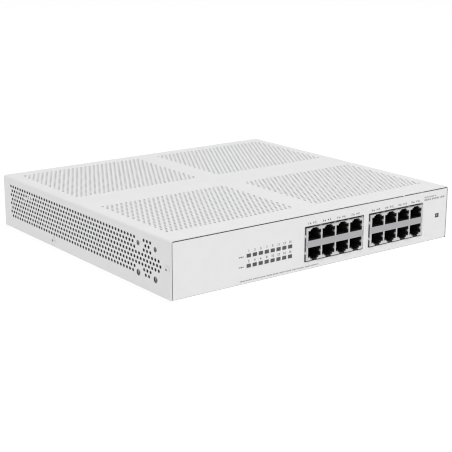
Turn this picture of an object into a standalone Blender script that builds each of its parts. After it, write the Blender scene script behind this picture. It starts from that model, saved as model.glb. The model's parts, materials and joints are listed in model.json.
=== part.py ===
"""Desktop network switch: a folded steel case with sixteen RJ45 ports and an internal mains supply.

Metres, +Z up, front panel towards -Y. The origin is on the surface it stands on, under its centre.
"""

import math

import bmesh
import bpy
from mathutils import Vector

# Case: a base tray (front, bottom and rear) under a U-shaped cover (top and sides).
CASE_WIDTH = 0.2730
CASE_DEPTH = 0.2500
CASE_HEIGHT = 0.0434
SHEET = 0.0010
BEND_RADIUS = 0.0020
BEND_STEPS = 3
SIDE_SEAM = 0.00035
TOP_SEAM = 0.0007
FIT = 0.0003
FOOT_HEIGHT = 0.0020
FOOT_RADIUS = 0.0065
FOOT_X = 0.1120
FOOT_Y = 0.1000

# Levels and faces that follow from the case.
FLOOR_Z = FOOT_HEIGHT
TOP_Z = FLOOR_Z + CASE_HEIGHT
FRONT_Y = -CASE_DEPTH / 2
REAR_Y = CASE_DEPTH / 2
SIDE_X = CASE_WIDTH / 2
COVER_INSIDE_X = SIDE_X - SHEET
TRAY_X = COVER_INSIDE_X - SIDE_SEAM
PANEL_TOP_Z = TOP_Z - SHEET - TOP_SEAM
FLANGE_HEIGHT = 0.0085
FLANGE_Y = (-0.0700, 0.1050)
CORNER_DEPTH = 0.0100

# Vent holes: one staggered pattern. The cover here has every fifth hole of every fifth row.
VENT_PITCH = 0.004148
VENT_ROW = VENT_PITCH * math.sqrt(3) / 2
VENT_RADIUS = 0.00125
VENT_STEP = 5
TOP_VENT_COLUMNS = 28
TOP_VENT_OUTER_X = 0.1251
TOP_VENT_FIELDS = ((-0.1032, 25), (0.0219, 26))
SIDE_VENT_COLUMNS = range(10, 54, VENT_STEP)
SIDE_VENT_ROWS = (1, 6)
SIDE_VENT_FIRST = (FRONT_Y + 0.01324, FLOOR_Z + 0.0362)

# Threaded holes for rack ears, two by two near the front of each side.
EAR_HOLE_Y = (FRONT_Y + 0.01945, FRONT_Y + 0.04135)
EAR_HOLES = {"upper": (FLOOR_Z + 0.0328, 0.00185), "lower": (FLOOR_Z + 0.0109, 0.00238)}
NUT_RADIUS = 0.0039
NUT_BORE = 0.00165
NUT_LENGTH = 0.0023

# Port blocks: two by four sockets each.
PORT_PITCH = 0.01397
BLOCK_X = (0.0130, 0.0781)
BLOCK_Z = FLOOR_Z + 0.0201
BLOCK_WIDTH = 0.0576
BLOCK_HEIGHT = 0.0252
BLOCK_DEPTH = 0.0300
BLOCK_PROUD = 0.0011
BLOCK_FRONT_Y = FRONT_Y - BLOCK_PROUD
OPENING_MARGIN = 0.0012
SHIELD_SHEET = 0.0004
PORT_HALF_WIDTH = 0.0060
PORT_INNER = 0.0026
PORT_OUTER = 0.0099
NOTCH_STEPS = ((0.0036, 0.0112), (0.0024, 0.01215))
HOUSING_GROWTH = 0.00015
CONTACT_CARRIER_Y = -0.1030
TONGUE_FRONT_Y = -0.1185
TONGUE_HALF_WIDTH = 0.0045
TONGUE_THICKNESS = 0.0010

# Link lights: two rows of eight windows, and one power window.
LAMP_FIRST_X = -0.0694
LAMP_PITCH = 0.005507
LAMP_COUNT = 8
LAMP_ROWS = {"upper": FLOOR_Z + 0.02127, "lower": FLOOR_Z + 0.01368}
LAMP_WIDTH = 0.0037
LAMP_HEIGHT = 0.0029
POWER_LAMP = (0.1247, FLOOR_Z + 0.0207)
POWER_LAMP_WIDTH = 0.0042
POWER_LAMP_HEIGHT = 0.0035
PIPE_FRONT_Y = FRONT_Y + 0.0003
PIPE_BAR_Y = (-0.1185, -0.1160)
HOLDER_THICKNESS = 0.0022

# Circuit boards.
BOARD_BOTTOM_Z = FLOOR_Z + 0.0056
BOARD_THICKNESS = 0.0016
BOARD_TOP_Z = BOARD_BOTTOM_Z + BOARD_THICKNESS
PARTS_Z = BOARD_TOP_Z + FIT
MAIN_BOARD = (-0.0800, 0.1310, -0.1225, -0.0200)
POWER_BOARD = (0.0250, 0.1250, 0.0150, 0.0980)
BOARDS = {"main": MAIN_BOARD, "power": POWER_BOARD}
HOLE_INSET = 0.0050
FRONT_HOLE_INSET = {"main": 0.0340, "power": 0.0050}
PILLAR_RADIUS = 0.0030
PILLAR_BORE = 0.0017
BOARD_HOLE = 0.0018
FILM = 0.0005
CHIP_CENTRE = (0.0400, -0.0600)
CHIP_HALF = 0.0110
CHIP_HEIGHT = 0.0014
PAD_HALF = 0.0100
PAD_HEIGHT = 0.0005
SINK_FINS = 8
SINK_FIN = 0.0014
SINK_GAP = 0.0036
SINK_WEB = 0.0025
SINK_HEIGHT = 0.0140
HEADER = (0.0650, -0.0290)
HEADER_HEIGHT = 0.0080

# Mains inlet on the rear panel.
INLET_X = 0.0880
INLET_Z = FLOOR_Z + 0.0215
INLET_FLANGE = (0.0240, 0.0112, 0.0014)
INLET_BODY_HALF = (0.0138, 0.0100)
INLET_CAVITY_HALF = (0.0122, 0.0082)
INLET_CHAMFER = 0.0045
INLET_WALL = 0.0014
INLET_CAVITY_DEPTH = 0.0160
INLET_SCREW_PITCH = 0.0400
PIN_HALF = (0.0010, 0.0020)
PIN_PLACES = {"line": (-0.0070, -0.0010), "neutral": (0.0070, -0.0010), "earth": (0.0, 0.0030)}
PIN_TAB = 0.0050
INLET_INNER_Y = REAR_Y + FIT + INLET_FLANGE[2] - INLET_CAVITY_DEPTH - INLET_WALL
LEAD_GAP = 0.0008
GROUND_SCREW = (0.0450, FLOOR_Z + 0.0120)
LOCK_SLOT = (-0.1150, FLOOR_Z + 0.0200, 0.0035, 0.0015)

# Screws: head radius, head height, shank radius, length under the head.
COVER_SCREW = (0.0027, 0.0007, 0.0013, 0.0045)
BOARD_SCREW = (0.0028, 0.0018, 0.0013, 0.0045)
INLET_SCREW = (0.0026, 0.0007, 0.0013, 0.0050)
GROUND_SCREW_SIZE = (0.0030, 0.0017, 0.0015, 0.0050)
SCREW_GAP = 0.0004
SIDE_SCREWS = {"front": (FRONT_Y + 0.0048, FLOOR_Z + 0.0221), "middle": (FRONT_Y + 0.1658, FLOOR_Z + 0.0056)}


def clear_scene():
    for obj in list(bpy.data.objects):
        bpy.data.objects.remove(obj, do_unlink=True)


def finish(name, colour, roughness, metallic=0.0):
    """A Principled material, made once for each name."""
    material = bpy.data.materials.get(name)
    if material:
        return material
    material = bpy.data.materials.new(name)
    material.use_nodes = True
    shader = material.node_tree.nodes["Principled BSDF"]
    shader.inputs["Base Color"].default_value = (*colour, 1.0)
    shader.inputs["Roughness"].default_value = roughness
    shader.inputs["Metallic"].default_value = metallic
    return material


def white_paint():
    return finish("white_paint", (0.80, 0.80, 0.80), 0.45)


def steel():
    return finish("plated_steel", (0.55, 0.56, 0.57), 0.35, 1.0)


def board_green():
    return finish("board_laminate", (0.02, 0.16, 0.08), 0.40)


def black_plastic():
    return finish("black_plastic", (0.012, 0.012, 0.013), 0.45)


def place(axis, along, first, second):
    """The point at these coordinates along an axis and across it."""
    if axis == "X":
        return Vector((along, first, second))
    if axis == "Y":
        return Vector((first, along, second))
    return Vector((first, second, along))


def prism(bm, outline, axis, start, stop):
    """Extrudes a closed outline along an axis."""
    face = bm.faces.new([bm.verts.new(place(axis, start, u, v)) for u, v in outline])
    grown = bmesh.ops.extrude_face_region(bm, geom=[face])["geom"]
    moved = [item for item in grown if isinstance(item, bmesh.types.BMVert)]
    bmesh.ops.translate(bm, verts=moved, vec=place(axis, stop - start, 0.0, 0.0))


def rectangle(centre, half_width, half_height):
    u, v = centre
    return [
        (u - half_width, v - half_height),
        (u + half_width, v - half_height),
        (u + half_width, v + half_height),
        (u - half_width, v + half_height),
    ]


def block(bm, xs, ys, zs):
    """A box between two limits on each axis."""
    outline = [(xs[0], ys[0]), (xs[1], ys[0]), (xs[1], ys[1]), (xs[0], ys[1])]
    prism(bm, outline, "Z", zs[0], zs[1])


def circle(centre, radius, sides, turn=0.5):
    u, v = centre
    angles = [2 * math.pi * (step + turn) / sides for step in range(sides)]
    return [(u + radius * math.cos(angle), v + radius * math.sin(angle)) for angle in angles]


def turned(bm, profile, sides, hollow=False):
    """A solid of revolution about Z, from (radius, height) points that run from one flat end to the other.

    A hollow one is a tube whose section is the closed profile.
    """
    rings = []
    for radius, height in profile:
        rings.append([bm.verts.new((x, y, height)) for x, y in circle((0.0, 0.0), radius, sides)])
    following_rings = rings[1:] + rings[:1] if hollow else rings[1:]
    for lower, upper in zip(rings, following_rings):
        for step in range(sides):
            following = (step + 1) % sides
            bm.faces.new((lower[step], lower[following], upper[following], upper[step]))
    if not hollow:
        bm.faces.new(rings[0])
        bm.faces.new(rings[-1])


def channel(half_span, depth):
    """The section of a sheet folded into a U. Its web lies along v = 0 and its legs rise to v = depth."""
    def path(inset):
        radius = BEND_RADIUS - inset
        points = [(-half_span + inset, depth)]
        for side in (-1, 1):
            for step in range(BEND_STEPS + 1):
                angle = math.pi / 2 * step / BEND_STEPS
                angle = angle if side < 0 else math.pi / 2 - angle
                u = side * (half_span - BEND_RADIUS + radius * math.cos(angle))
                points.append((u, BEND_RADIUS - radius * math.sin(angle)))
        points.append((half_span - inset, depth))
        return points

    return path(0.0) + path(SHEET)[::-1]


def shaped_mesh(name, bm, material=None, smooth=False):
    bmesh.ops.recalc_face_normals(bm, faces=bm.faces)
    mesh = bpy.data.meshes.new(name)
    bm.to_mesh(mesh)
    bm.free()
    if material:
        mesh.materials.append(material)
    if smooth:
        mesh.shade_smooth()
        mesh.set_sharp_from_angle(angle=math.radians(40))
    return mesh


def new_object(name, bm, material=None, smooth=False):
    return link(name, shaped_mesh(name, bm, material, smooth))


def link(name, data, location=(0.0, 0.0, 0.0), direction=None):
    """Puts a mesh or a curve under the root empty, with its own Z axis turned to the given direction."""
    obj = bpy.data.objects.new(name, data)
    bpy.context.scene.collection.objects.link(obj)
    if data:
        obj.parent = bpy.data.objects["network_switch"]
    obj.location = location
    if direction:
        obj.rotation_mode = "QUATERNION"
        obj.rotation_quaternion = Vector(direction).to_track_quat("Z", "Y")
    return obj


def combine(body, operation, bm, label=""):
    """Adds a Boolean with a hidden helper made of separate closed shapes."""
    helper = new_object(f"{body.name}.{label}{operation.lower()}", bm)
    helper.hide_render = True
    helper.display_type = "WIRE"
    modifier = body.modifiers.new(f"{label}{operation.lower()}", "BOOLEAN")
    modifier.operation = operation
    modifier.object = helper


def panel_cut(bm, outline, y):
    """A cut straight through the front or rear panel at this y."""
    prism(bm, outline, "Y", y - 3 * SHEET, y + 3 * SHEET)


def side_cut(bm, centre, radius, sides, side):
    """A round hole through one side wall, centred at (y, z)."""
    prism(bm, circle(centre, radius, sides), "X", side * (SIDE_X - 5 * SHEET), side * (SIDE_X + 2 * SHEET))


def screw_mesh(name, size, material, sides=8):
    """A screw with its head above z = 0 and its shank below."""
    head_radius, head_height, shank_radius, length = size
    bm = bmesh.new()
    profile = [
        (shank_radius, -length),
        (shank_radius, 0.0),
        (head_radius, 0.0),
        (head_radius * 0.85, head_height),
    ]
    turned(bm, profile, sides)
    return shaped_mesh(name, bm, material, smooth=True)


def board_holes(name):
    """The four screw places of a board, by name. The main board's front pair is behind the socket blocks."""
    left, right, front, rear = BOARDS[name]
    xs = {"left": left + HOLE_INSET, "right": right - HOLE_INSET}
    ys = {"front": front + FRONT_HOLE_INSET[name], "rear": rear - HOLE_INSET}
    return {f"{end}_{hand}": (x, y) for end, y in ys.items() for hand, x in xs.items()}


def all_board_holes():
    return [centre for name in BOARDS for centre in board_holes(name).values()]


def lamp_centres(height):
    return [(LAMP_FIRST_X + index * LAMP_PITCH, height) for index in range(LAMP_COUNT)]


def build_base_chassis():
    bm = bmesh.new()
    section = [(y, FLOOR_Z + rise) for y, rise in channel(CASE_DEPTH / 2, PANEL_TOP_Z - FLOOR_Z)]
    prism(bm, section, "X", -TRAY_X, TRAY_X)
    tray = new_object("base_chassis", bm, white_paint())

    bm = bmesh.new()
    low = FLOOR_Z + SHEET / 2
    for side in (-1, 1):
        wall = sorted((side * TRAY_X, side * (TRAY_X - SHEET)))
        block(bm, wall, FLANGE_Y, (low, FLOOR_Z + FLANGE_HEIGHT))
        block(bm, wall, (FRONT_Y + SHEET / 2, FRONT_Y + CORNER_DEPTH), (low, PANEL_TOP_Z - SHEET))
        block(bm, wall, (REAR_Y - CORNER_DEPTH, REAR_Y - SHEET / 2), (low, PANEL_TOP_Z - SHEET))
    for centre in all_board_holes():
        prism(bm, circle(centre, PILLAR_RADIUS, 8), "Z", low, BOARD_BOTTOM_Z - FIT)
    combine(tray, "UNION", bm)

    bm = bmesh.new()
    for x in BLOCK_X:
        half = (BLOCK_WIDTH / 2 + OPENING_MARGIN, BLOCK_HEIGHT / 2 + OPENING_MARGIN / 2)
        panel_cut(bm, rectangle((x, BLOCK_Z), *half), FRONT_Y)
    for height in LAMP_ROWS.values():
        for centre in lamp_centres(height):
            panel_cut(bm, rectangle(centre, LAMP_WIDTH / 2, LAMP_HEIGHT / 2), FRONT_Y)
    panel_cut(bm, rectangle(POWER_LAMP, POWER_LAMP_WIDTH / 2, POWER_LAMP_HEIGHT / 2), FRONT_Y)
    inlet_half = (INLET_BODY_HALF[0] + FIT, INLET_BODY_HALF[1] + FIT)
    panel_cut(bm, rectangle((INLET_X, INLET_Z), *inlet_half), REAR_Y)
    for side in (-1, 1):
        centre = (INLET_X + side * INLET_SCREW_PITCH / 2, INLET_Z)
        panel_cut(bm, circle(centre, INLET_SCREW[2] + SCREW_GAP, 8), REAR_Y)
        for y, z in SIDE_SCREWS.values():
            side_cut(bm, (y, z), COVER_SCREW[2] + SCREW_GAP, 8, side)
    panel_cut(bm, circle(GROUND_SCREW, GROUND_SCREW_SIZE[2] + SCREW_GAP, 8), REAR_Y)
    panel_cut(bm, rectangle(LOCK_SLOT[:2], *LOCK_SLOT[2:]), REAR_Y)
    for centre in all_board_holes():
        prism(bm, circle(centre, PILLAR_BORE, 8), "Z", FLOOR_Z + 1.2 * SHEET, BOARD_BOTTOM_Z)
    combine(tray, "DIFFERENCE", bm)


def top_vents():
    """Hole centres of the thinned pattern on the right half of the lid."""
    for first_y, rows in TOP_VENT_FIELDS:
        for row in range(0, rows, VENT_STEP):
            for column in range(0, TOP_VENT_COLUMNS, VENT_STEP):
                inset = (column + 0.5 * (row % 2)) * VENT_PITCH
                yield TOP_VENT_OUTER_X - inset, first_y + row * VENT_ROW


def side_vents():
    """Hole centres of the thinned pattern on a side, as (y, z)."""
    first_y, first_z = SIDE_VENT_FIRST
    for row in SIDE_VENT_ROWS:
        for column in SIDE_VENT_COLUMNS:
            yield first_y + (column + 0.5 * (row % 2)) * VENT_PITCH, first_z - row * VENT_ROW


def build_top_cover():
    bm = bmesh.new()
    section = [(x, TOP_Z - drop) for x, drop in channel(SIDE_X, CASE_HEIGHT - FIT)]
    prism(bm, section, "Y", FRONT_Y, REAR_Y)
    cover = new_object("top_cover", bm, white_paint())

    bm = bmesh.new()
    for side in (-1, 1):
        for x, y in top_vents():
            hole = circle((side * x, y), VENT_RADIUS, 6)
            prism(bm, hole, "Z", TOP_Z - 2 * SHEET, TOP_Z + SHEET)
        for centre in side_vents():
            side_cut(bm, centre, VENT_RADIUS, 6, side)
        for y in EAR_HOLE_Y:
            for z, radius in EAR_HOLES.values():
                side_cut(bm, (y, z), radius, 10, side)
        for y, z in SIDE_SCREWS.values():
            side_cut(bm, (y, z), COVER_SCREW[2] + SCREW_GAP, 8, side)
    combine(cover, "DIFFERENCE", bm)


def build_cover_screws():
    mesh = screw_mesh("cover_screw", COVER_SCREW, white_paint())
    for side, hand in ((-1, "left"), (1, "right")):
        for name, (y, z) in SIDE_SCREWS.items():
            where = (side * (SIDE_X + FIT), y, z)
            link(f"cover_screw_{name}_{hand}", mesh, where, (side, 0.0, 0.0))


def build_rack_nuts():
    """Clinch nuts behind the rack ear holes."""
    bm = bmesh.new()
    section = [(NUT_BORE, 0.0), (NUT_RADIUS, 0.0), (NUT_RADIUS * 0.94, NUT_LENGTH), (NUT_BORE, NUT_LENGTH)]
    turned(bm, section, 10, hollow=True)
    mesh = shaped_mesh("rack_nut", bm, steel(), smooth=True)
    for side, hand in ((-1, "left"), (1, "right")):
        for end, y in zip(("front", "rear"), EAR_HOLE_Y):
            for level, (z, _) in EAR_HOLES.items():
                where = (side * (COVER_INSIDE_X - FIT), y, z)
                link(f"rack_nut_{level}_{end}_{hand}", mesh, where, (-side, 0.0, 0.0))


def build_feet():
    bm = bmesh.new()
    height = FOOT_HEIGHT - FIT
    turned(bm, [(FOOT_RADIUS * 0.88, 0.0), (FOOT_RADIUS, height * 0.4), (FOOT_RADIUS, height)], 12)
    mesh = shaped_mesh("foot", bm, finish("foot_rubber", (0.05, 0.05, 0.05), 0.80), smooth=True)
    for end, y in (("front", -FOOT_Y), ("rear", FOOT_Y)):
        link(f"foot_{end}_left", mesh, (-FOOT_X, y, 0.0))
        link(f"foot_{end}_right", mesh, (FOOT_X, y, 0.0))


def port_outline(centre_x, direction, growth=0.0):
    """A socket's stepped outline, its latch notch up for direction 1 and down for -1."""
    half = PORT_HALF_WIDTH + growth
    (wide, first), (narrow, second) = NOTCH_STEPS
    right = [
        (half, PORT_INNER - growth),
        (half, PORT_OUTER + growth),
        (wide + growth, PORT_OUTER + growth),
        (wide + growth, first + growth / 2),
        (narrow + growth, first + growth / 2),
        (narrow + growth, second + growth / 2),
    ]
    outline = right + [(-x, z) for x, z in reversed(right)]
    return [(centre_x + x, BLOCK_Z + direction * z) for x, z in outline]


def port_places(block_x):
    """(x, direction) of the eight sockets of a block."""
    return [(block_x + (column - 1.5) * PORT_PITCH, row) for row in (1, -1) for column in range(4)]


def build_port_block(hand, block_x):
    left = block_x - BLOCK_WIDTH / 2
    right = block_x + BLOCK_WIDTH / 2
    low = PARTS_Z
    high = BLOCK_Z + BLOCK_HEIGHT / 2
    rear = BLOCK_FRONT_Y + BLOCK_DEPTH

    bm = bmesh.new()
    block(bm, (left, right), (BLOCK_FRONT_Y, rear), (low, high))
    shield = new_object(f"port_shield_{hand}", bm, steel())
    bm = bmesh.new()
    inside_x = (left + SHIELD_SHEET, right - SHIELD_SHEET)
    inside_y = (BLOCK_FRONT_Y + SHIELD_SHEET, rear - SHIELD_SHEET)
    block(bm, inside_x, inside_y, (low - SHEET, high - SHIELD_SHEET))
    combine(shield, "DIFFERENCE", bm)
    bm = bmesh.new()
    for x, direction in port_places(block_x):
        outline = port_outline(x, direction)
        prism(bm, outline, "Y", BLOCK_FRONT_Y - SHEET, BLOCK_FRONT_Y + SHIELD_SHEET + FIT / 2)
    combine(shield, "DIFFERENCE", bm, "windows ")

    bm = bmesh.new()
    wall = SHIELD_SHEET + FIT
    front = BLOCK_FRONT_Y + wall
    block(bm, (left + wall, right - wall), (front, CONTACT_CARRIER_Y - FIT), (low, high - wall))
    housing = new_object(f"port_housing_{hand}", bm, black_plastic())
    bm = bmesh.new()
    for x, direction in port_places(block_x):
        outline = port_outline(x, direction, -HOUSING_GROWTH)
        prism(bm, outline, "Y", front - SHEET, CONTACT_CARRIER_Y + SHEET)
    combine(housing, "DIFFERENCE", bm)

    bm = bmesh.new()
    carrier_y = (CONTACT_CARRIER_Y, rear - wall)
    block(bm, (left + wall, right - wall), carrier_y, (low, high - wall))
    contacts = new_object(f"port_contacts_{hand}", bm, finish("contact_gold", (0.75, 0.55, 0.20), 0.30, 1.0))
    bm = bmesh.new()
    for x, direction in port_places(block_x):
        near = BLOCK_Z + direction * (PORT_INNER + HOUSING_GROWTH + FIT)
        zs = sorted((near, near + direction * TONGUE_THICKNESS))
        xs = (x - TONGUE_HALF_WIDTH, x + TONGUE_HALF_WIDTH)
        block(bm, xs, (TONGUE_FRONT_Y, CONTACT_CARRIER_Y + SHEET), zs)
    combine(contacts, "UNION", bm)


def build_light_pipes():
    clear = finish("light_pipe", (0.55, 0.57, 0.58), 0.25)
    tooth = LAMP_WIDTH / 2 - FIT
    near, far = PIPE_BAR_Y
    start = LAMP_FIRST_X - LAMP_PITCH / 2
    end = LAMP_FIRST_X + (LAMP_COUNT - 0.5) * LAMP_PITCH
    for level, z in LAMP_ROWS.items():
        outline = [(start, far), (start, near)]
        for x, _ in lamp_centres(z):
            outline += [(x - tooth, near), (x - tooth, PIPE_FRONT_Y)]
            outline += [(x + tooth, PIPE_FRONT_Y), (x + tooth, near)]
        outline += [(end, near), (end, far)]
        bm = bmesh.new()
        half = LAMP_HEIGHT / 2 - FIT
        prism(bm, outline, "Z", z - half, z + half)
        new_object(f"lamp_light_pipe_{level}", bm, clear)

    bm = bmesh.new()
    holder_y = (far + FIT, far + FIT + HOLDER_THICKNESS)
    block(bm, (start, end), holder_y, (PARTS_Z, LAMP_ROWS["upper"] + LAMP_HEIGHT))
    new_object("light_pipe_holder", bm, black_plastic())

    x, z = POWER_LAMP
    half_width = POWER_LAMP_WIDTH / 2 - FIT
    half_height = POWER_LAMP_HEIGHT / 2 - FIT
    outline = [
        (PIPE_FRONT_Y, z - half_height),
        (near, z - half_height),
        (near, PARTS_Z),
        (far, PARTS_Z),
        (far, z + half_height),
        (PIPE_FRONT_Y, z + half_height),
    ]
    bm = bmesh.new()
    prism(bm, outline, "X", x - half_width, x + half_width)
    new_object("power_light_pipe", bm, clear)


def build_boards():
    mesh = screw_mesh("board_screw", BOARD_SCREW, steel())
    for name, (left, right, front, rear) in BOARDS.items():
        bm = bmesh.new()
        block(bm, (left, right), (front, rear), (BOARD_BOTTOM_Z, BOARD_TOP_Z))
        laminate = new_object(f"{name}_board", bm, board_green())
        bm = bmesh.new()
        for place_name, (x, y) in board_holes(name).items():
            prism(bm, circle((x, y), BOARD_HOLE, 8), "Z", BOARD_BOTTOM_Z - SHEET, BOARD_TOP_Z + SHEET)
            link(f"{name}_board_screw_{place_name}", mesh, (x, y, PARTS_Z), (0.0, 0.0, 1.0))
        combine(laminate, "DIFFERENCE", bm)


def square_block(name, centre, half, low, height, material):
    """A square plate that stands at this level."""
    bm = bmesh.new()
    x, y = centre
    block(bm, (x - half, x + half), (y - half, y + half), (low, low + height))
    return new_object(name, bm, material)


def build_switch_chip():
    square_block("switch_chip", CHIP_CENTRE, CHIP_HALF, PARTS_Z, CHIP_HEIGHT, black_plastic())
    pad_z = PARTS_Z + CHIP_HEIGHT + FIT
    pad_finish = finish("thermal_pad", (0.45, 0.50, 0.60), 0.80)
    square_block("thermal_pad", CHIP_CENTRE, PAD_HALF, pad_z, PAD_HEIGHT, pad_finish)

    x, y = CHIP_CENTRE
    low = pad_z + PAD_HEIGHT + FIT
    web = low + SINK_WEB
    top = low + SINK_HEIGHT
    half = (SINK_FINS * SINK_FIN + (SINK_FINS - 1) * SINK_GAP) / 2
    outline = [(x - half, low)]
    for index in range(SINK_FINS):
        start = x - half + index * (SINK_FIN + SINK_GAP)
        outline += [(start, web), (start, top), (start + SINK_FIN, top), (start + SINK_FIN, web)]
    outline = outline[:1] + outline[2:-1] + [(x + half, low)]
    bm = bmesh.new()
    prism(bm, outline, "Y", y - half, y + half)
    new_object("chip_heatsink", bm, finish("black_anodised", (0.03, 0.03, 0.03), 0.45, 0.6))


def standing_can(name, centre, radius, height, material, sides):
    bm = bmesh.new()
    rim = radius * 0.95
    turned(bm, [(rim, 0.0), (radius, height * 0.04), (radius, height * 0.96), (rim, height)], sides)
    link(name, shaped_mesh(name, bm, material, smooth=True), (*centre, PARTS_Z))


def build_power_supply():
    left, right, front, rear = POWER_BOARD
    x, y = left + 0.0440, front + 0.0400
    bm = bmesh.new()
    block(bm, (x - 0.0140, x + 0.0140), (y - 0.0120, y + 0.0120), (PARTS_Z, PARTS_Z + 0.0210))
    core = new_object("supply_transformer", bm, finish("ferrite", (0.06, 0.06, 0.065), 0.60))
    bm = bmesh.new()
    block(bm, (x - 0.0180, x + 0.0180), (y - 0.0080, y + 0.0080), (PARTS_Z + 0.0030, PARTS_Z + 0.0180))
    combine(core, "UNION", bm)

    sleeve = finish("capacitor_sleeve", (0.03, 0.04, 0.10), 0.35)
    standing_can("supply_capacitor", (right - 0.0180, front + 0.0360), 0.0090, 0.0280, sleeve, 14)
    standing_can("output_capacitor", (left + 0.0140, front + 0.0300), 0.0050, 0.0170, sleeve, 10)

    bm = bmesh.new()
    section = [
        (0.0035, 0.0),
        (0.0080, 0.0),
        (0.0085, 0.0015),
        (0.0085, 0.0105),
        (0.0080, 0.0120),
        (0.0035, 0.0120),
    ]
    turned(bm, section, 12, hollow=True)
    winding = finish("choke_winding", (0.45, 0.20, 0.06), 0.40, 0.8)
    choke = shaped_mesh("mains_choke", bm, winding, smooth=True)
    link("mains_choke", choke, (right - 0.0250, rear - 0.0180, PARTS_Z))

    bm = bmesh.new()
    plate = left + 0.0160
    outline = [
        (plate, PARTS_Z),
        (plate + 0.0020, PARTS_Z),
        (plate + 0.0020, PARTS_Z + 0.0230),
        (plate + 0.0100, PARTS_Z + 0.0230),
        (plate + 0.0100, PARTS_Z + 0.0250),
        (plate, PARTS_Z + 0.0250),
    ]
    prism(bm, outline, "Y", front + 0.0420, front + 0.0740)
    new_object("supply_heatsink", bm, finish("aluminium", (0.75, 0.75, 0.76), 0.40, 1.0))

    bm = bmesh.new()
    block(bm, (right - 0.0500, right - 0.0440), (rear - 0.0240, rear - 0.0100), (PARTS_Z, PARTS_Z + 0.0090))
    new_object("mains_fuse", bm, finish("fuse_body", (0.35, 0.25, 0.12), 0.50))

    bm = bmesh.new()
    border = 0.0030
    level = (FLOOR_Z + SHEET + FIT, FLOOR_Z + SHEET + FIT + FILM)
    block(bm, (left - border, right + border), (front - border, rear + border), level)
    film = new_object("insulating_sheet", bm, finish("insulating_film", (0.70, 0.70, 0.62), 0.30))
    bm = bmesh.new()
    for centre in board_holes("power").values():
        prism(bm, circle(centre, PILLAR_RADIUS + FIT, 8), "Z", FLOOR_Z, BOARD_BOTTOM_Z)
    combine(film, "DIFFERENCE", bm)

    bm = bmesh.new()
    x, y = HEADER
    block(bm, (x - 0.0060, x + 0.0060), (y - 0.0030, y + 0.0030), (PARTS_Z, PARTS_Z + HEADER_HEIGHT))
    new_object("power_header", bm, finish("white_nylon", (0.75, 0.74, 0.70), 0.45))


def chamfered(centre, half, chamfer):
    """A rectangle whose two upper corners are cut off, as on a three-pin mains inlet."""
    u, v = centre
    width, height = half
    return [
        (u - width, v - height),
        (u + width, v - height),
        (u + width, v + height - chamfer),
        (u + width - chamfer, v + height),
        (u - width + chamfer, v + height),
        (u - width, v + height - chamfer),
    ]


def build_inlet():
    centre = (INLET_X, INLET_Z)
    flange_x, flange_z, flange_y = INLET_FLANGE
    face = REAR_Y + FIT
    inner = INLET_INNER_Y
    bm = bmesh.new()
    prism(bm, rectangle(centre, flange_x, flange_z), "Y", face, face + flange_y)
    inlet = new_object("mains_inlet", bm, black_plastic())
    bm = bmesh.new()
    prism(bm, rectangle(centre, *INLET_BODY_HALF), "Y", inner, face + flange_y / 2)
    combine(inlet, "UNION", bm)
    bm = bmesh.new()
    cavity = chamfered(centre, INLET_CAVITY_HALF, INLET_CHAMFER)
    prism(bm, cavity, "Y", inner + INLET_WALL, face + 2 * flange_y)
    for side in (-1, 1):
        hole = circle((INLET_X + side * INLET_SCREW_PITCH / 2, INLET_Z), INLET_SCREW[2] + SCREW_GAP, 8)
        prism(bm, hole, "Y", face - SHEET, face + 2 * flange_y)
    combine(inlet, "DIFFERENCE", bm)
    bm = bmesh.new()
    for u, v in PIN_PLACES.values():
        hole = rectangle((INLET_X + u, INLET_Z + v), PIN_HALF[0] + FIT, PIN_HALF[1] + FIT)
        prism(bm, hole, "Y", inner - SHEET, inner + 2 * INLET_WALL)
    combine(inlet, "DIFFERENCE", bm, "pins ")

    brass = finish("plated_brass", (0.72, 0.68, 0.55), 0.30, 1.0)
    for name, (u, v) in PIN_PLACES.items():
        bm = bmesh.new()
        blade = rectangle((INLET_X + u, INLET_Z + v), *PIN_HALF)
        prism(bm, blade, "Y", inner - PIN_TAB, face + flange_y - 0.0020)
        new_object(f"inlet_pin_{name}", bm, brass)

    mesh = screw_mesh("inlet_screw", INLET_SCREW, steel())
    for side, hand in ((-1, "left"), (1, "right")):
        where = (INLET_X + side * INLET_SCREW_PITCH / 2, face + flange_y + FIT, INLET_Z)
        link(f"inlet_screw_{hand}", mesh, where, (0.0, 1.0, 0.0))
    mesh = screw_mesh("ground_screw", GROUND_SCREW_SIZE, steel())
    link("ground_screw", mesh, (GROUND_SCREW[0], REAR_Y + FIT, GROUND_SCREW[1]), (0.0, 1.0, 0.0))


def smooth_route(points, spacing):
    """Points along a Catmull-Rom curve through the given ones, about evenly spaced."""
    ends = [2 * points[0] - points[1]] + points + [2 * points[-1] - points[-2]]
    route = []
    for before, start, stop, after in zip(ends, ends[1:], ends[2:], ends[3:]):
        steps = max(1, round((stop - start).length / spacing))
        for step in range(steps):
            t = step / steps
            pull = 2 * start + (stop - before) * t
            pull += (2 * before - 5 * start + 4 * stop - after) * t**2
            pull += (3 * start - before - 3 * stop + after) * t**3
            route.append(pull / 2)
    return route + [points[-1]]


def lead(name, points, radius, material):
    """An insulated wire inside the case."""
    curve = bpy.data.curves.new(name, "CURVE")
    curve.dimensions = "3D"
    curve.bevel_depth = radius
    curve.bevel_resolution = 1
    curve.use_fill_caps = True
    route = smooth_route([Vector(point) for point in points], 5 * radius)
    spline = curve.splines.new("POLY")
    spline.points.add(len(route) - 1)
    for target, point in zip(spline.points, route):
        target.co = (*point, 1.0)
    curve.materials.append(material)
    link(name, curve)


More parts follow.
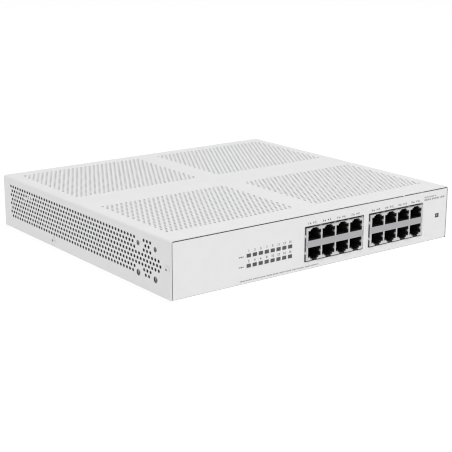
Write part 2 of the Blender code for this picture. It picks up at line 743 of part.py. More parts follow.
def build_leads():
    tab_y = INLET_INNER_Y - PIN_TAB - LEAD_GAP
    starts = {}
    for name, (u, v) in PIN_PLACES.items():
        start = Vector((INLET_X + u, tab_y, INLET_Z + v))
        starts[name] = [start, start + Vector((0.0, -0.0030, 0.0))]
    landing = PARTS_Z + FIT
    colours = {"line": (0.16, 0.07, 0.03), "neutral": (0.02, 0.08, 0.35)}
    for name, shift in (("line", -0.0060), ("neutral", 0.0080)):
        end = Vector((starts[name][0].x + shift, POWER_BOARD[3] - 0.0060, landing))
        points = starts[name] + [end + Vector((0.0, 0.0, 0.0080)), end + Vector((0.0, 0.0, 0.0030)), end]
        lead(f"mains_lead_{name}", points, 0.0011, finish(f"lead_{name}", colours[name], 0.50))

    end = Vector((GROUND_SCREW[0], REAR_Y - 0.0090, GROUND_SCREW[1]))
    aside = Vector((INLET_X - 0.0260, tab_y - 0.0020, INLET_Z + 0.0050))
    turns = [aside, end + Vector((0.0060, -0.0080, 0.0050)), end + Vector((0.0, -0.0030, 0.0))]
    points = starts["earth"] + turns + [end]
    lead("earth_lead", points, 0.0011, finish("lead_earth", (0.05, 0.30, 0.06), 0.50))

    start = Vector((POWER_BOARD[0] + 0.0140, POWER_BOARD[2] + 0.0100, landing))
    end = Vector((HEADER[0], HEADER[1], PARTS_Z + HEADER_HEIGHT + LEAD_GAP))
    middle = [Vector((0.0450, 0.0080, 0.0240)), Vector((0.0560, -0.0150, 0.0270))]
    points = [start, start + Vector((0.0, 0.0, 0.0060))] + middle + [end + Vector((0.0, 0.0, 0.0060)), end]
    lead("supply_lead", points, 0.0017, finish("lead_output", (0.45, 0.02, 0.02), 0.50))


def build_switch():
    clear_scene()
    link("network_switch", None)
    build_base_chassis()
    build_top_cover()
    build_cover_screws()
    build_rack_nuts()
    build_feet()
    for hand, block_x in zip(("left", "right"), BLOCK_X):
        build_port_block(hand, block_x)
    build_light_pipes()
    build_boards()
    build_switch_chip()
    build_power_supply()
    build_inlet()
    build_leads()


build_switch()
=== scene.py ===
"""Finished look of the desktop network switch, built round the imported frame."""

import json
import math

import bmesh
import bpy
from mathutils import Matrix, Vector

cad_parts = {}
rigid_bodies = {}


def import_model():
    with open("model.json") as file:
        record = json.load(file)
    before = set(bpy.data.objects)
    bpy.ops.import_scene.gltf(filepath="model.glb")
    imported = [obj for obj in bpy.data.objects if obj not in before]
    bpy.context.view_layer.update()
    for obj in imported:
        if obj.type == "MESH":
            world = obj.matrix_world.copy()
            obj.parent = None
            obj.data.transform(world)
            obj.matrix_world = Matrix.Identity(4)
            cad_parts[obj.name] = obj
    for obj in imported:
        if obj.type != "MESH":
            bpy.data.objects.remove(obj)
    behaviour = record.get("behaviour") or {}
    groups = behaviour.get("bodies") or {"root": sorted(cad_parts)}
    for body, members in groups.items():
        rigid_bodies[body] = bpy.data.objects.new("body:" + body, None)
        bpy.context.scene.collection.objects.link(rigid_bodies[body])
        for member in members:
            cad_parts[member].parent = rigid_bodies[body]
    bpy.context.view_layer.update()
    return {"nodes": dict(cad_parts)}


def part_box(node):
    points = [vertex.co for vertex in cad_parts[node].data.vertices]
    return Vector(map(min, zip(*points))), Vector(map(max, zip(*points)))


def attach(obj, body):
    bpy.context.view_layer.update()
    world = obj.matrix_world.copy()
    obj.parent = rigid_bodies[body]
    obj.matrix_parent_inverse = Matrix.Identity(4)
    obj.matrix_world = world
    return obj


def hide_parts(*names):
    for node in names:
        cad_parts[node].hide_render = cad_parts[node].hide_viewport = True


for leftover in list(bpy.data.objects):
    bpy.data.objects.remove(leftover)
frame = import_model()

# Sizes read from the frame, in metres.
COVER_LOW, COVER_HIGH = (Vector(corner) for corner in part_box("top_cover"))
TRAY_LOW, TRAY_HIGH = (Vector(corner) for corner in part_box("base_chassis"))
SIDE_X = COVER_HIGH.x
FRONT_Y = COVER_LOW.y
REAR_Y = COVER_HIGH.y
TOP_Z = COVER_HIGH.z
CASE_Z = TRAY_LOW.z
CASE_WIDTH = 2 * SIDE_X

# Sheet metal. The seams are the gaps between the cover and the tray inside it.
SHEET = 0.0010
COVER_SHEET = 0.0006
TOP_SEAM = 0.0007
SIDE_SEAM = 0.0005
BEND = 0.0020
BEND_STEPS = 9
SHARP_ANGLE = 40.0
WELD = 1e-6

# Vent pattern: round holes in staggered rows. TOP_FIELDS holds (first y, rows).
PITCH = 0.004148
ROW = PITCH * math.sqrt(3) / 2
TOP_HOLE = 0.00104
SIDE_HOLE = 0.00125
HOLE_SIDES = 10
TOP_COLUMNS = 28
TOP_OUTER_X = 0.1251
TOP_FIELDS = ((-0.1032, 25), (0.0219, 26))

# The vents of a side keep clear of the rack ear holes, and near the front they are only in the neck rows.
# Distances run back from the front and up from the base. EAR_HOLES holds (height, radius).
SIDE_ROWS = 8
SIDE_COLUMNS = 55
SIDE_FIRST_Y = 0.01324
SIDE_TOP_Z = 0.0362
NECK_ROWS = (3, 4, 5)
NECK_END_Y = 0.0250
EAR_HOLES_Y = (0.01945, 0.04135)
EAR_HOLES = ((0.0328, 0.00185), (0.0109, 0.00238))
EAR_CLEARANCE = 0.0057
ROUND_SIDES = 24
COVER_SCREW_HOLE = 0.0017

# Front and rear panels. FIT is the play round a piece in its window. GAP is the space between two pieces.
FIT = 0.0003
GAP = 0.0003
WINDOW_CORNER = 0.0003
SOCKET_CORNER = 0.0004
LAMPS = 8
LAMP_GAP = 0.0001
LAMP_WIDTH = 0.0040
POWER_WINDOW_HEIGHT = 0.0035
LAMP_BAR_DEPTH = 0.0025
HAIR_GAP = 0.00002
BEZEL_RIM = 0.0009
BEZEL_SET_BACK = 0.00005
LOCK_SLOT = (-0.1150, CASE_Z + 0.0200)
LOCK_SLOT_HALF = (0.0035, 0.0015)
LOCK_SLOT_CORNER = 0.0010
INLET_WINDOW = (0.0141, 0.0103)
REAR_SCREW_HOLE = 0.0018
FLANGE_Y = (-0.0700, 0.1050)
FLANGE_TOP = 0.0085
CORNER_RETURN = 0.0100
PILLAR_BORE = 0.0017
PILLAR_RADIUS = 0.0030
PILLAR_CHAMFER = 0.0003

# Socket blocks: two rows of four. Heights run from the middle of a block. A notch is (half width, height).
HANDS = ("left", "right")
SOCKET_PITCH = 0.01397
SOCKET_GAP = 0.0011
SOCKET_HALF = 0.0063
SOCKET_INNER = 0.0026
SOCKET_OUTER = 0.0103
NOTCHES = ((0.0041, 0.0114), (0.0027, 0.0127))
BLOCK_HEIGHT = 0.0252
BAND_HALF = 0.0024
BAND_PROUD = 0.00006
SHIELD = 0.0004
SHIELD_CORNER = 0.0004

# Leaf springs: thickness and bow, and each kind's length and half width. The wall springs are in the sockets,
# and the side and top fingers press on the front panel.
SPRING = 0.00022
SPRING_FOOT = 0.0001
SPRING_START = 0.0002
WALL_BOW, WALL_LENGTH, WALL_HALF = 0.0005, 0.0034, 0.0009
FINGER_BOW, FINGER_HALF = 0.0008, 0.0011
SIDE_FINGER_LENGTH = 0.0032
TOP_FINGER_START, TOP_FINGER_LENGTH = 0.0008, 0.0060

# Contact wires: eight in each socket.
CONTACTS = 8
CONTACT_PITCH = 0.00102
WIRE_HALF, WIRE_THICKNESS = 0.00019, 0.00035
WIRE_RISE = 0.0007
WIRE_TURN = 0.0018
WIRE_BEND = 0.0006
WIRE_BEND_ANGLES = (0.8, 1.6, 2.4)
WIRE_END = (0.0105, 0.0042)
CARRIER_GAP = 0.00005

# Cover screws.
SCREW_POINT, SCREW_TAPER = 0.0010, 0.0004
SCREW_NECK, NECK_LENGTH = 0.0013, 0.0012
THREAD_CREST, THREAD_ROOT, THREAD_PITCH = 0.0015, 0.00125, 0.0005
CREST_RISE, ROOT_RISE = 0.00015, 0.0004
HEAD_RADIUS, HEAD_FLAT, HEAD_TOP = 0.00249, 0.00240, 0.00222
UNDER_EDGE, UPPER_EDGE, TOP_EDGE = 0.00015, 0.00020, 0.00006
RECESS_RADIUS, RECESS_LOBE, RECESS_LOBES, RECESS_STEPS = 0.00092, 0.00016, 6, 36
RECESS_REACH = 0.0011
RECESS_DEPTH = 0.00045

# Pressed nuts.
NUT_BORE = 0.00175
NUT_CREST, NUT_ROOT, NUT_PITCH = 0.00150, 0.00178, 0.0004
NUT_CREST_RISE, NUT_ROOT_RISE = 0.0001, 0.0003
NUT_CHAMFER, NUT_LIP, NUT_LIP_RISE = 0.0003, 0.0005, 0.0004
NUT_GAP, NUT_LEAD_IN, NUT_LEAD_OUT = 0.00005, 0.0002, 0.0003
NUT_SHARP_ANGLE = 25.0

# Feet.
FOOT_AXIS = 0.0001
FOOT_EDGE = 0.0003
FOOT_ROUND = 0.0006
FOOT_RIM, FOOT_DISH, FOOT_DISH_DEPTH = 0.0020, 0.0024, 0.0004

# Printed marks, with heights above the base. A number's size is its height over CAPITAL_SHARE.
INK_PROUD = 0.00003
INK_DEPTH = 0.00002
CAPITAL_SHARE = 0.70
LAMP_LABEL = 0.0018
LAMP_LABEL_RISE = 0.0020
PORT_LABEL = 0.0016
PORT_LABEL_Z = 0.0358
PORT_LABEL_PITCH = 0.0146
PORT_LABEL_SPREAD = 0.0036
ARROW_SPREAD = 0.0016
ARROW_HALF = 0.0008
ARROW_BASE, ARROW_TIP = 0.0006, 0.0007
# The marks left of each lamp row, as (distance to the lamps, width), and how far they reach down and up.
ROW_MARKS = ((0.0062, 0.0009), (0.0048, 0.0014), (0.0029, 0.0009))
ROW_MARK_DOWN, ROW_MARK_UP = 0.0006, 0.0002
# Plain rows of ticks in place of small words, as (start x, end x, height, tick height). Widths are shares of
# the tick height, and one tick in TICK_GROUP is left out.
PLAIN_LINES = (
    (-0.0770, -0.0030, 0.0024, 0.0009),
    (0.1095, 0.1220, 0.0372, 0.0009),
    (0.1095, 0.1322, 0.0348, 0.0014),
)
TICK_WIDTHS = (0.45, 0.30, 0.55, 0.25, 0.40, 0.20)
TICK_SPACE = 0.40
TICK_GROUP, TICK_LEFT_OUT = 9, 7

# Floor, light and camera. The camera's angles are azimuth, elevation and roll, and its place is the distance
# from the middle of the case, then the shift across and up, as shares of the case's width. The pixel filter
# is narrower than Blender's own 1.5, which would merge the lid's vents into stripes.
FLOOR_RADIUS = 12.0
FLOOR_GLOW = 0.80
LIGHT_LEVEL = 0.53
HORIZON_LEVEL = 1.04
HORIZON = 0.25
KEY_PLACE = (0.08, -0.74, 2.40)
KEY_SIZE = 1.6
KEY_POWER = 37.0
CAMERA_ANGLES = (-37.018, 15.3716, 0.1885)
CAMERA_PLACE = (3.50677, 0.01251, -0.0618)
LENS = 91.45
SENSOR_WIDTH = 36.0
CLIP_END = 100.0
PIXEL_FILTER = 1.25


# ---------------------------------------------------------------- materials


class Nodes:
    """A short way to add and link the nodes of one material."""

    def __init__(self, name):
        self.material = bpy.data.materials.new(name)
        self.material.use_nodes = True
        self.tree = self.material.node_tree
        self.shader = self.tree.nodes["Principled BSDF"]
        self.place = self.add("ShaderNodeTexCoord").outputs["Object"]

    def add(self, kind, **values):
        node = self.tree.nodes.new(kind)
        for key, value in values.items():
            if hasattr(node, key):
                setattr(node, key, value)
            else:
                node.inputs[key.replace("_", " ")].default_value = value
        return node

    def link(self, source, target):
        self.tree.links.new(source, target)

    def noise(self, scale, detail=3.0, roughness=0.5, stretch=(1.0, 1.0, 1.0)):
        mapping = self.add("ShaderNodeMapping")
        mapping.inputs["Scale"].default_value = stretch
        self.link(self.place, mapping.inputs["Vector"])
        noise = self.add("ShaderNodeTexNoise", Scale=scale, Detail=detail, Roughness=roughness)
        self.link(mapping.outputs["Vector"], noise.inputs["Vector"])
        return noise.outputs["Fac"]

    def spread(self, source, low, high):
        """Maps a texture's middle range to these two values."""
        node = self.add("ShaderNodeMapRange")
        for key, value in (("From Min", 0.3), ("From Max", 0.7), ("To Min", low), ("To Max", high)):
            node.inputs[key].default_value = value
        self.link(source, node.inputs["Value"])
        return node.outputs["Result"]

    def mix(self, factor, first, second):
        node = self.add("ShaderNodeMix", data_type="RGBA")
        self.link(factor, node.inputs["Factor"])
        node.inputs["A"].default_value = (*first, 1.0)
        node.inputs["B"].default_value = (*second, 1.0)
        return node.outputs["Result"]

    def bump(self, source, strength, distance):
        node = self.add("ShaderNodeBump")
        node.inputs["Strength"].default_value = strength
        node.inputs["Distance"].default_value = distance
        self.link(source, node.inputs["Height"])
        self.link(node.outputs["Normal"], self.shader.inputs["Normal"])

    def set(self, **values):
        for key, value in values.items():
            self.shader.inputs[key.replace("_", " ")].default_value = value


def surface(name, colour, tint, roughness, grain, relief, metallic=0.0, stretch=(1.0, 1.0, 1.0), **more):
    """A material with mottled colour and roughness and a fine relief, at the grain's scale per metre."""
    nodes = Nodes(name)
    fine = nodes.noise(grain, stretch=stretch)
    broad = nodes.noise(grain / 12, detail=2.0, stretch=stretch)
    other = [channel * (1 - tint) for channel in colour]
    nodes.link(nodes.mix(nodes.spread(broad, 0.0, 1.0), colour, other), nodes.shader.inputs["Base Color"])
    low, high = roughness
    nodes.link(nodes.spread(fine, low, high), nodes.shader.inputs["Roughness"])
    nodes.bump(fine, 1.0, relief)
    nodes.set(Metallic=metallic, **more)
    return nodes.material


def make_materials():
    return {
        "paint": surface("powder_coat", (0.80, 0.80, 0.80), 0.020, (0.46, 0.56), 1500, 0.000012),
        # The inside steel is near black, painted shade: it darkens the inner faces of the case, the side vent
        # walls and the seams.
        "inside": surface("painted_shade_steel", (0.060, 0.060, 0.062), 0.15, (0.45, 0.60), 300, 0.000010, 0.3),
        # The band is a darker copy of the shield plate, painted shade on the middle bar.
        "band": surface("shaded_plate_band", (0.43, 0.43, 0.44), 0.05, (0.36, 0.46), 900, 0.000008, 1.0),
        "shield": surface("tin_plate", (0.60, 0.60, 0.61), 0.06, (0.30, 0.42), 900, 0.000008, 1.0),
        "screw": surface("zinc_screw", (0.50, 0.50, 0.51), 0.10, (0.28, 0.42), 1200, 0.000008, 1.0),
        # The recess colour is grey, painted shade in the screws' recesses.
        "recess": surface("recess_painted_shade", (0.36, 0.36, 0.365), 0.25, (0.45, 0.60), 1500, 0.000006, 0.3),
        "black": surface("black_moulding", (0.010, 0.010, 0.011), 0.25, (0.42, 0.58), 1400, 0.000015),
        "gold": surface("gold_wire", (0.80, 0.56, 0.20), 0.08, (0.18, 0.30), 1500, 0.000004, 1.0),
        "rubber": surface("foot_rubber_skin", (0.030, 0.030, 0.031), 0.20, (0.70, 0.88), 1100, 0.000030),
        "pipe": surface(
            "smoked_pipe", (0.050, 0.052, 0.055), 0.18, (0.14, 0.24), 700, 0.000006, Coat_Weight=0.4
        ),
        "bezel": surface("dark_bezel", (0.045, 0.046, 0.048), 0.20, (0.40, 0.55), 1400, 0.000010),
        "power": surface(
            "clear_pipe", (0.30, 0.31, 0.32), 0.25, (0.16, 0.26), 700, 0.000006, Coat_Weight=0.4
        ),
        "ink": surface("grey_ink", (0.085, 0.087, 0.090), 0.20, (0.55, 0.70), 2500, 0.000004),
        "board": surface("solder_mask", (0.012, 0.105, 0.045), 0.35, (0.22, 0.36), 260, 0.000015),
        "pad": surface("gap_filler", (0.36, 0.42, 0.52), 0.10, (0.75, 0.90), 900, 0.000020),
        "anodised": surface("black_anodised", (0.030, 0.030, 0.032), 0.20, (0.36, 0.50), 900, 0.000010, 0.7),
        "ferrite": surface("ferrite_core", (0.050, 0.050, 0.054), 0.25, (0.55, 0.75), 700, 0.000030),
        "sleeve": surface("shrink_sleeve", (0.020, 0.030, 0.085), 0.12, (0.22, 0.34), 500, 0.000012),
        "copper": surface(
            "enamelled_wire", (0.52, 0.20, 0.06), 0.25, (0.22, 0.36), 260, 0.000060, 0.8, (0.2, 0.2, 4.0)
        ),
        "aluminium": surface(
            "mill_aluminium", (0.72, 0.72, 0.73), 0.08, (0.30, 0.46), 400, 0.000010, 1.0, (0.15, 1.0, 1.0)
        ),
        "fuse": surface("fuse_body", (0.32, 0.22, 0.10), 0.15, (0.40, 0.55), 700, 0.000015),
        "film": surface("polyester_film", (0.60, 0.60, 0.53), 0.06, (0.20, 0.32), 200, 0.000015),
        "nylon": surface("natural_nylon", (0.70, 0.69, 0.64), 0.05, (0.38, 0.52), 900, 0.000015),
        "brass": surface("plated_blade", (0.66, 0.62, 0.50), 0.08, (0.22, 0.36), 900, 0.000006, 1.0),
        "brown": surface("brown_insulation", (0.15, 0.065, 0.030), 0.10, (0.38, 0.50), 700, 0.000012),
        "blue": surface("blue_insulation", (0.020, 0.075, 0.32), 0.10, (0.38, 0.50), 700, 0.000012),
        "green": surface("green_insulation", (0.045, 0.28, 0.055), 0.10, (0.38, 0.50), 700, 0.000012),
        "red": surface("red_insulation", (0.42, 0.020, 0.018), 0.10, (0.38, 0.50), 700, 0.000012),
    }


MATERIALS = make_materials()

# Which material each kept CAD node takes, by the start of its name. The first that fits counts.
CAD_MATERIALS = (
    ("port_housing", "black"),
    ("power_light_pipe", "power"),
    ("light_pipe_holder", "black"),
    ("main_board_screw", "screw"),
    ("power_board_screw", "screw"),
    ("main_board", "board"),
    ("power_board", "board"),
    ("switch_chip", "black"),
    ("thermal_pad", "pad"),
    ("chip_heatsink", "anodised"),
    ("supply_transformer", "ferrite"),
    ("supply_capacitor", "sleeve"),
    ("output_capacitor", "sleeve"),
    ("mains_choke", "copper"),
    ("supply_heatsink", "aluminium"),
    ("mains_fuse", "fuse"),
    ("insulating_sheet", "film"),
    ("power_header", "nylon"),
    ("mains_inlet", "black"),
    ("inlet_pin", "brass"),
    ("inlet_screw", "screw"),
    ("ground_screw", "screw"),
    ("mains_lead_line", "brown"),
    ("mains_lead_neutral", "blue"),
    ("earth_lead", "green"),
    ("supply_lead", "red"),
)


def dress_cad_nodes():
    for name in frame["nodes"]:
        for start, material in CAD_MATERIALS:
            if name.startswith(start):
                mesh = bpy.data.objects[name].data
                mesh.materials.clear()
                mesh.materials.append(MATERIALS[material])
                break


# ---------------------------------------------------------------- mesh helpers


def add_object(name, bm, materials, angle=SHARP_ANGLE):
    mesh = bpy.data.meshes.new(name)
    bm.to_mesh(mesh)
    bm.free()
    for key in materials:
        mesh.materials.append(MATERIALS[key])
    mesh.shade_smooth()
    mesh.set_sharp_from_angle(angle=math.radians(angle))
    piece = bpy.data.objects.new(name, mesh)
    bpy.context.scene.collection.objects.link(piece)
    return piece


def add_solid(name, bm, materials, angle=SHARP_ANGLE):
    """An object from closed shapes, with their faces turned outward."""
    bmesh.ops.recalc_face_normals(bm, faces=bm.faces)
    return add_object(name, bm, materials, angle)


def settle(piece):
    """Applies the modifiers, then marks sharp edges again."""
    bpy.context.view_layer.update()
    graph = bpy.context.evaluated_depsgraph_get()
    mesh = bpy.data.meshes.new_from_object(piece.evaluated_get(graph))
    piece.modifiers.clear()
    piece.data = mesh
    mesh.shade_smooth()
    mesh.set_sharp_from_angle(angle=math.radians(SHARP_ANGLE))


def stand_for(piece, slot, *nodes):
    """Gives a piece its body and hides the CAD nodes that it replaces. The slot is not used."""
    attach(piece, "root")
    if nodes:
        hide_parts(*nodes)


def circle(centre, radius, sides):
    angles = [2 * math.pi * step / sides for step in range(sides)]
    return [(centre[0] + radius * math.cos(a), centre[1] + radius * math.sin(a)) for a in angles]


def prism(bm, outline, axis, start, stop):
    """Extrudes a closed outline along X, Y or Z."""
    place = {
        "X": lambda u, v, w: (w, u, v),
        "Y": lambda u, v, w: (u, w, v),
        "Z": lambda u, v, w: (u, v, w),
    }[axis]
    face = bm.faces.new([bm.verts.new(place(u, v, start)) for u, v in outline])
    grown = bmesh.ops.extrude_face_region(bm, geom=[face])["geom"]
    moved = [item for item in grown if isinstance(item, bmesh.types.BMVert)]
    bmesh.ops.translate(bm, verts=moved, vec=place(0.0, 0.0, stop - start))


def rectangle(low, high):
    return [(low[0], low[1]), (high[0], low[1]), (high[0], high[1]), (low[0], high[1])]


def block(bm, low, high):
    prism(bm, rectangle(low, high), "Z", low[2], high[2])


def turned(bm, profile, sides, matrix, hollow=False):
    """A solid of revolution about Z, from (radius, height) points. A hollow one has a closed profile."""
    rings = [
        [bm.verts.new(matrix @ Vector((x, y, height))) for x, y in circle((0, 0), radius, sides)]
        for radius, height in profile
    ]
    if hollow:
        rings.append(rings[0])
    else:
        bm.faces.new(rings[0])
        bm.faces.new(rings[-1])
    for lower, upper in zip(rings, rings[1:]):
        for step in range(sides):
            after = (step + 1) % sides
            bm.faces.new((lower[step], lower[after], upper[after], upper[step]))


def cut(piece, bm):
    """Cuts a set of separate closed shapes out of a piece, and removes the cutter."""
    cutter = add_solid("cutter", bm, ())
    modifier = piece.modifiers.new("cut", "BOOLEAN")
    modifier.operation = "DIFFERENCE"
    modifier.object = cutter
    settle(piece)
    bpy.data.objects.remove(cutter)


def channel(half_span, depth):
    """The section of a folded sheet: its web along v = 0 and its two legs up to v = depth."""

    def path(inset):
        radius = BEND - inset
        points = [(-half_span + inset, depth)]
        for side in (-1, 1):
            for step in range(BEND_STEPS + 1):
                angle = math.pi / 2 * step / BEND_STEPS
                angle = angle if side < 0 else math.pi / 2 - angle
                u = side * (half_span - BEND + radius * math.cos(angle))
                points.append((u, BEND - radius * math.sin(angle)))
        return points + [(half_span - inset, depth)]

    return path(0.0) + path(SHEET)[::-1]


# ---------------------------------------------------------------- perforated cover


def ring_faces(inner, outer):
    """Triangles between two rings of (angle, vertex), both in order of angle."""
    marks = [(angle, 0, index) for index, (angle, _) in enumerate(inner)]
    marks += [(angle, 1, index) for index, (angle, _) in enumerate(outer)]
    marks.sort()
    at = [len(inner) - 1, len(outer) - 1]
    for _, side, index in marks:
        before = at[side]
        here, there = (inner, outer) if side == 0 else (outer, inner)
        corners = [here[before][1], here[index][1], there[at[1 - side]][1]]
        yield corners if side else corners[::-1]
        at[side] = index


def perforated(bm, outline, cells, hole, round_holes, to_space):
    """A flat panel with round vents in hexagonal cells. Rows run along the first coordinate."""
    flat = bmesh.new()
    corners = {}

    def corner(s, t):
        """The vertex at a cell's corner, which its neighbours share."""
        key = (round(s / WELD), round(t / WELD))
        if key not in corners:
            corners[key] = flat.verts.new((s, t, 0.0))
        return corners[key]

    rims = set()
    hexagon = [math.pi / 6 + math.pi / 3 * step for step in range(6)]
    reach = PITCH / math.sqrt(3)
    # The turn of 0.3 of a step keeps the angles of holes and cells apart.
    around = [2 * math.pi * (step + 0.3) / HOLE_SIDES for step in range(HOLE_SIDES)]
    for s, t in cells:
        outer = [(a, corner(s + reach * math.cos(a), t + reach * math.sin(a))) for a in hexagon]
        inner = [(a, flat.verts.new((s + hole * math.cos(a), t + hole * math.sin(a), 0.0))) for a in around]
        for triple in ring_faces(inner, outer):
            flat.faces.new(triple)
        rims.update(vertex for _, vertex in inner)
    border = [edge for edge in flat.edges if len(edge.link_faces) == 1 and not set(edge.verts) & rims]

    loops = [outline] + [circle((s, t), radius, ROUND_SIDES) for s, t, radius in round_holes]
    for loop in loops:
        points = [flat.verts.new((s, t, 0.0)) for s, t in loop]
        border += [flat.edges.new((a, b)) for a, b in zip(points, points[1:] + points[:1])]
    bmesh.ops.triangle_fill(flat, edges=border, use_beauty=True, normal=(0, 0, 1))

    placed = {vertex: bm.verts.new(to_space(vertex.co.x, vertex.co.y)) for vertex in flat.verts}
    for face in flat.faces:
        bm.faces.new([placed[vertex] for vertex in face.verts])
    flat.free()


def top_cells(side, first_y, rows):
    """Vent centres of one field of the lid, as (x, y)."""
    for row in range(rows):
        for column in range(TOP_COLUMNS):
            yield side * (TOP_OUTER_X - (column + 0.5 * (row % 2)) * PITCH), first_y + row * ROW


def side_cells():
    """Vent centres on one side, as (y, z)."""
    for row in range(SIDE_ROWS):
        z = SIDE_TOP_Z - row * ROW
        for column in range(SIDE_COLUMNS - row % 2):
            y = SIDE_FIRST_Y + (column + 0.5 * (row % 2)) * PITCH
            in_neck = row in NECK_ROWS or y > NECK_END_Y
            clear = min(
                math.dist((y, z), (hole_y, hole_z)) for hole_y in EAR_HOLES_Y for hole_z, _ in EAR_HOLES
            )
            if in_neck and clear > EAR_CLEARANCE:
                yield FRONT_Y + y, CASE_Z + z


def screw_places():
    """Middles of the cover screws on the left side, as (y, z)."""
    places = []
    for name in ("cover_screw_front_left", "cover_screw_middle_left"):
        low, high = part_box(name)
        places.append(((low[1] + high[1]) / 2, (low[2] + high[2]) / 2))
    return places


def make_cover():
    """The lid and both sides, one sheet with every vent in it."""
    bm = bmesh.new()
    flat_x = SIDE_X - BEND
    cells = [
        cell
        for first_y, rows in TOP_FIELDS
        for side in (-1, 1)
        for cell in top_cells(side, first_y, rows)
    ]
    outline = rectangle((-flat_x, FRONT_Y), (flat_x, REAR_Y))
    perforated(bm, outline, cells, TOP_HOLE, [], lambda x, y: (x, y, TOP_Z))
    holes = [(FRONT_Y + y, CASE_Z + z, radius) for y in EAR_HOLES_Y for z, radius in EAR_HOLES]
    holes += [(y, z, COVER_SCREW_HOLE) for y, z in screw_places()]
    outline = rectangle((FRONT_Y, COVER_LOW.z), (REAR_Y, TOP_Z - BEND))
    for side in (-1, 1):
        perforated(bm, outline, side_cells(), SIDE_HOLE, holes, lambda y, z: (side * SIDE_X, y, z))
        angles = [math.pi / 2 * step / BEND_STEPS for step in range(BEND_STEPS + 1)]
        arc = [(side * (flat_x + BEND * math.sin(a)), TOP_Z - BEND + BEND * math.cos(a)) for a in angles]
        for (x0, z0), (x1, z1) in zip(arc, arc[1:]):
            quad = [(x0, FRONT_Y, z0), (x1, FRONT_Y, z1), (x1, REAR_Y, z1), (x0, REAR_Y, z0)]
            bm.faces.new([bm.verts.new(point) for point in quad])
    bmesh.ops.remove_doubles(bm, verts=bm.verts, dist=WELD)
    bmesh.ops.recalc_face_normals(bm, faces=bm.faces)
    top = max(bm.faces, key=lambda face: face.calc_center_median().z)
    if top.normal.z < 0:
        bmesh.ops.reverse_faces(bm, faces=bm.faces)
    cover = add_object("perforated_cover", bm, ("paint", "inside"))
    solid = cover.modifiers.new("thickness", "SOLIDIFY")
    solid.thickness = COVER_SHEET
    solid.offset = -1.0
    solid.use_even_offset = True
    # The inner faces take the dark inside steel, painted shade inside the case.
    solid.material_offset = 1
    settle(cover)
    # The cut edges of the side vents take the dark inside steel, painted shade in the vent walls.
    for polygon in cover.data.polygons:
        x, y, z = polygon.center
        in_side = abs(x) > SIDE_X - COVER_SHEET + GAP / 10 and abs(polygon.normal.x) < 0.2
        if in_side and abs(y) < REAR_Y - GAP and z > COVER_LOW.z + GAP and z < TOP_Z - BEND - GAP:
            polygon.material_index = 1
    stand_for(cover, "white_paint", "top_cover")


# ---------------------------------------------------------------- tray


def middle_of(node):
    low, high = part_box(node)
    return (Vector(low) + Vector(high)) / 2


def seen_from_front(node, margin):
    """A node's outline in x and z, grown by a margin."""
    low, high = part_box(node)
    return rectangle((low[0] - margin, low[2] - margin), (high[0] + margin, high[2] + margin))


def rounded(outline, radius):
    """A rectangle's outline with small round corners."""
    (u0, v0), _, (u1, v1), _ = outline
    u0, v0, u1, v1 = u0 + radius, v0 + radius, u1 - radius, v1 - radius
    points = []
    for quarter, (u, v) in enumerate(((u1, v1), (u0, v1), (u0, v0), (u1, v0))):
        for step in range(4):
            angle = math.pi / 2 * (quarter + step / 3)
            points.append((u + radius * math.cos(angle), v + radius * math.sin(angle)))
    return points


def lamp_windows():
    """Outlines of the lamp windows, one for each tooth of the two light pipes."""
    for level in ("upper", "lower"):
        low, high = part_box(f"lamp_light_pipe_{level}")
        pitch = (high[0] - low[0]) / LAMPS
        for index in range(LAMPS):
            x = low[0] + (index + 0.5) * pitch
            yield rectangle((x - LAMP_WIDTH / 2, low[2] - FIT), (x + LAMP_WIDTH / 2, high[2] + FIT))


def power_window():
    low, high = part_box("power_light_pipe")
    top = high[2] + FIT
    return rectangle((low[0] - FIT, top - POWER_WINDOW_HEIGHT), (high[0] + FIT, top))


def inlet_window():
    centre = middle_of("mains_inlet")
    half_x, half_z = INLET_WINDOW
    return rectangle((centre.x - half_x, centre.z - half_z), (centre.x + half_x, centre.z + half_z))


def make_tray():
    """The folded tray, cut for everything that shows through its front and rear walls."""
    bm = bmesh.new()
    side_x = SIDE_X - COVER_SHEET - SIDE_SEAM
    top_z = TOP_Z - COVER_SHEET - TOP_SEAM
    section = [(y, CASE_Z + rise) for y, rise in channel((REAR_Y - FRONT_Y) / 2, top_z - CASE_Z)]
    prism(bm, section, "X", -side_x, side_x)
    tray = add_solid("folded_tray", bm, ("paint", "inside"))

    front_wall = (FRONT_Y - SHEET, FRONT_Y + 2 * SHEET)
    rear_wall = (REAR_Y - 2 * SHEET, REAR_Y + SHEET)
    bm = bmesh.new()
    for hand in HANDS:
        outline = seen_from_front(f"port_shield_{hand}", SOCKET_GAP)
        prism(bm, rounded(outline, SOCKET_CORNER), "Y", *front_wall)
    for outline in (*lamp_windows(), power_window()):
        prism(bm, rounded(outline, WINDOW_CORNER), "Y", *front_wall)
    prism(bm, inlet_window(), "Y", *rear_wall)
    (slot_x, slot_z), (half_x, half_z) = LOCK_SLOT, LOCK_SLOT_HALF
    slot = rectangle((slot_x - half_x, slot_z - half_z), (slot_x + half_x, slot_z + half_z))
    prism(bm, rounded(slot, LOCK_SLOT_CORNER), "Y", *rear_wall)
    for name in ("ground_screw", "inlet_screw_left", "inlet_screw_right"):
        centre = middle_of(name)
        prism(bm, circle((centre.x, centre.z), REAR_SCREW_HOLE, 20), "Y", *rear_wall)
    cut(tray, bm)
    # Only the faces seen from outside are white powder coat. The hidden faces and the cut edges in the seams
    # take the dark inside steel, painted shade inside the case and in the seams.
    for polygon in tray.data.polygons:
        x, y, z = polygon.center
        hidden = max(abs(y) - REAR_Y, CASE_Z - z) < -SHEET / 2
        if hidden or abs(x) > side_x - GAP or z > top_z - GAP:
            polygon.material_index = 1
    stand_for(tray, "white_paint", "base_chassis")


